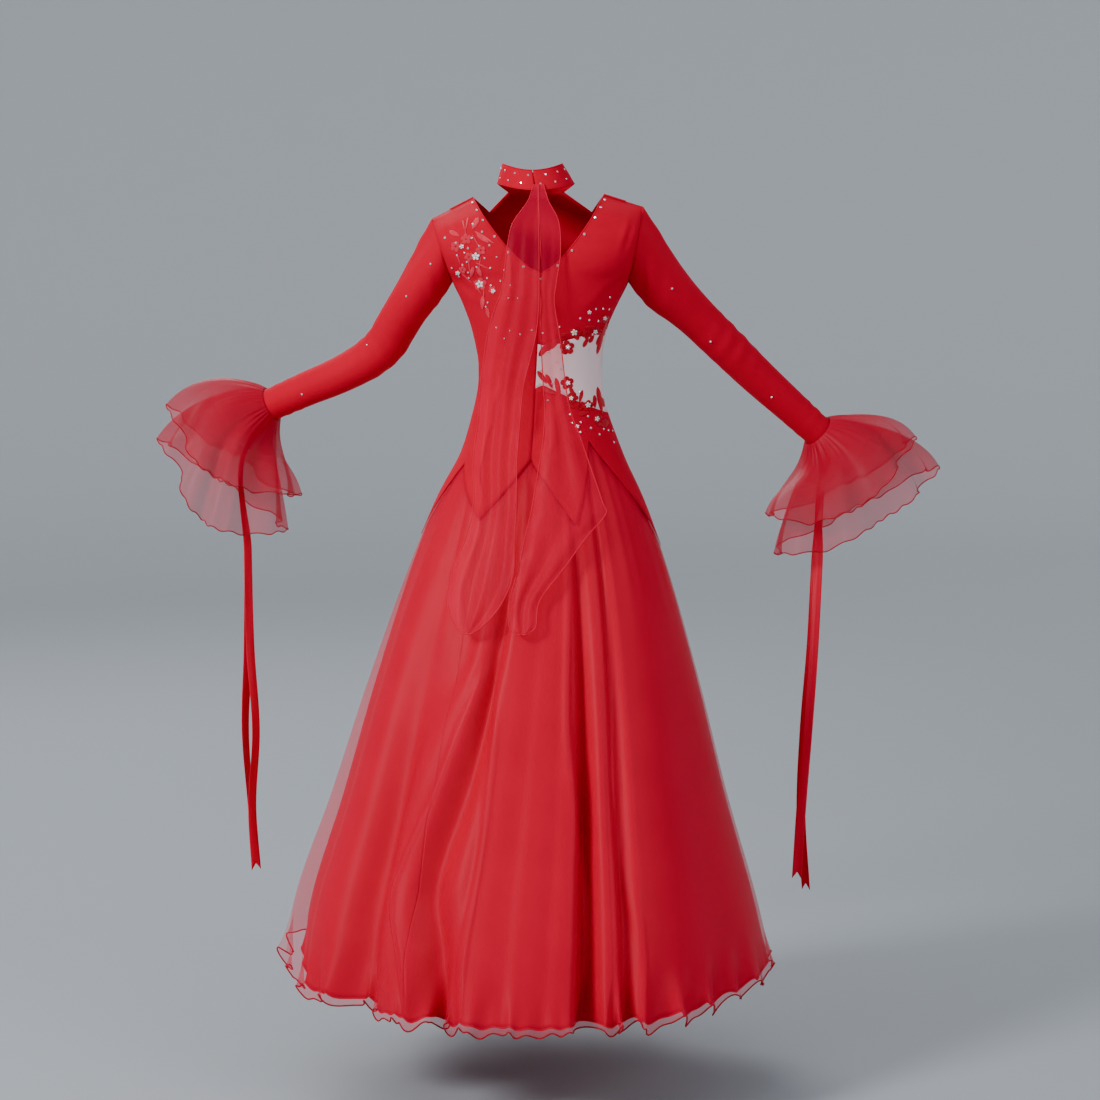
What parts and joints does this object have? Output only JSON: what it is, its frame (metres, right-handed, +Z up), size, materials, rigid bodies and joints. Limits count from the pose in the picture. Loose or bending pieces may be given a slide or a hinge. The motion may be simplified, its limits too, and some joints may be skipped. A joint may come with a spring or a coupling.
{
  "type": "ballroom dance dress",
  "caption": "Red long-sleeved ballroom dance dress with a deep V back, a sheer waist inset, organza floats, gathered cuffs, wrist ribbons and a full godet skirt.",
  "frame": {"origin": "middle of the neck opening, level with the shoulder seams, where the dress is held up", "axes": "+Z up, front faces -Y, back faces +Y, +X towards the dress's own left side"},
  "size_m": [1.3452, 0.8272, 1.3645],
  "materials": {
    "red_stretch": "matt stretch jersey",
    "red_organza": "sheer crisp organza",
    "red_satin": "soft satin",
    "nude_mesh": "fine stretch mesh",
    "red_lace": "corded lace"
  },
  "bodies": {
    "root": {"collar": "red_stretch", "bodice_front": "red_stretch", "bodice_back_left": "red_stretch", "bodice_back_right_upper": "red_stretch", "waist_inset": "nude_mesh", "bodice_back_right_lower": "red_stretch", "sleeve_left": "red_stretch", "sleeve_right": "red_stretch", "cuff_left_inner": "red_organza", "cuff_left_outer": "red_organza", "cuff_right_inner": "red_organza", "cuff_right_outer": "red_organza", "skirt_outer_back_left": "red_organza", "skirt_outer_back_centre": "red_organza", "skirt_outer_back_right": "red_organza", "skirt_outer_front_right": "red_organza", "skirt_outer_front_centre": "red_organza", "skirt_outer_front_left": "red_organza", "skirt_under_back_left": "red_satin", "skirt_under_back_centre": "red_satin", "skirt_under_back_right": "red_satin", "skirt_under_front_right": "red_satin", "skirt_under_front_centre": "red_satin", "skirt_under_front_left": "red_satin", "float_left": "red_organza", "float_right": "red_organza", "ribbon_left_front": "red_satin", "ribbon_left_back": "red_satin", "ribbon_right_front": "red_satin", "ribbon_right_back": "red_satin", "applique_shoulder": "red_lace", "applique_waist_upper": "red_lace", "applique_waist_lower": "red_lace"}
  },
  "joints": []
}
